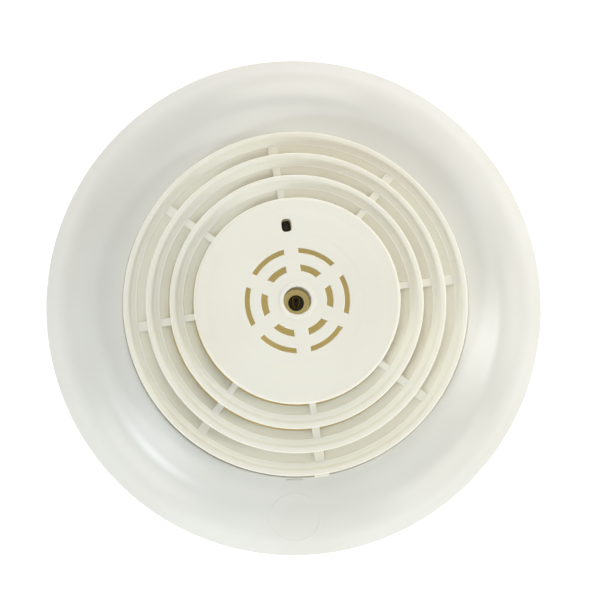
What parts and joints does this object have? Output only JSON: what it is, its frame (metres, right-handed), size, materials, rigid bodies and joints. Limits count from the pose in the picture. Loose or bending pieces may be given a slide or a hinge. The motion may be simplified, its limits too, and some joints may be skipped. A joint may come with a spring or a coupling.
{
  "type": "heat detector",
  "caption": "Ceiling heat detector: a domed flanged base holds a plug-in head with stepped louvre tiers, a vented centre disc and a central sensor bore.",
  "frame": {"origin": "centre of the mounting face, on the detector's axis", "axes": "+Z along the detector's axis, from the ceiling towards the sensing end; +Y towards the indicator window (8.6 degrees off it)"},
  "size_m": [0.155, 0.155, 0.0504],
  "materials": {
    "flange_plastic": "satin moulded, cool white",
    "head_plastic": "fine matt moulded, cream white",
    "carrier_plastic": "matt moulded, cream",
    "seal_rubber": "matt black elastomer",
    "strip_brass": "tinned spring brass",
    "screw_steel": "zinc plated",
    "board_laminate": "green solder mask on glass laminate",
    "component_black": "moulded epoxy",
    "capacitor_sleeve": "shrink sleeve",
    "resistor_ceramic": "coated ceramic",
    "led_epoxy": "red tinted epoxy",
    "pipe_acrylic": "dark smoked acrylic",
    "bead_glass": "dark glazed bead",
    "lead_copper": "enamelled copper"
  },
  "bodies": {
    "base": {"base_body": "flange_plastic", "base_terminal_1": "strip_brass", "base_terminal_2": "strip_brass", "base_terminal_3": "strip_brass", "base_terminal_4": "strip_brass", "wire_clamp_1": "screw_steel", "wire_clamp_2": "screw_steel", "wire_clamp_3": "screw_steel", "wire_clamp_4": "screw_steel", "terminal_screw_1": "screw_steel", "terminal_screw_2": "screw_steel", "terminal_screw_3": "screw_steel", "terminal_screw_4": "screw_steel"},
    "seal": {"draught_seal": "seal_rubber"},
    "head": {"front_cover": "head_plastic", "sensor_carrier": "carrier_plastic", "light_pipe": "pipe_acrylic", "thermistor_bead": "bead_glass", "thermistor_lead_1": "lead_copper", "thermistor_lead_2": "lead_copper", "circuit_board": "board_laminate", "board_screw_1": "screw_steel", "board_screw_2": "screw_steel", "board_screw_3": "screw_steel", "controller_ic": "component_black", "bridge_rectifier": "component_black", "smoothing_capacitor": "capacitor_sleeve", "alarm_transistor": "component_black", "load_resistor": "resistor_ceramic", "status_led": "led_epoxy", "rear_housing": "carrier_plastic", "head_contact_1": "strip_brass", "head_contact_2": "strip_brass", "head_contact_3": "strip_brass", "head_contact_4": "strip_brass"}
  },
  "joints": [
    {"name": "head_lift", "type": "slide", "parent": "base", "child": "seal", "axis": [0, 0, 1], "range_m": [0, 0.03]},
    {"name": "head_twist", "type": "hinge", "parent": "seal", "child": "head", "pos_m": [0, 0, 0.02], "axis": [0, 0, 1], "range_deg": [-9, 0]}
  ]
}
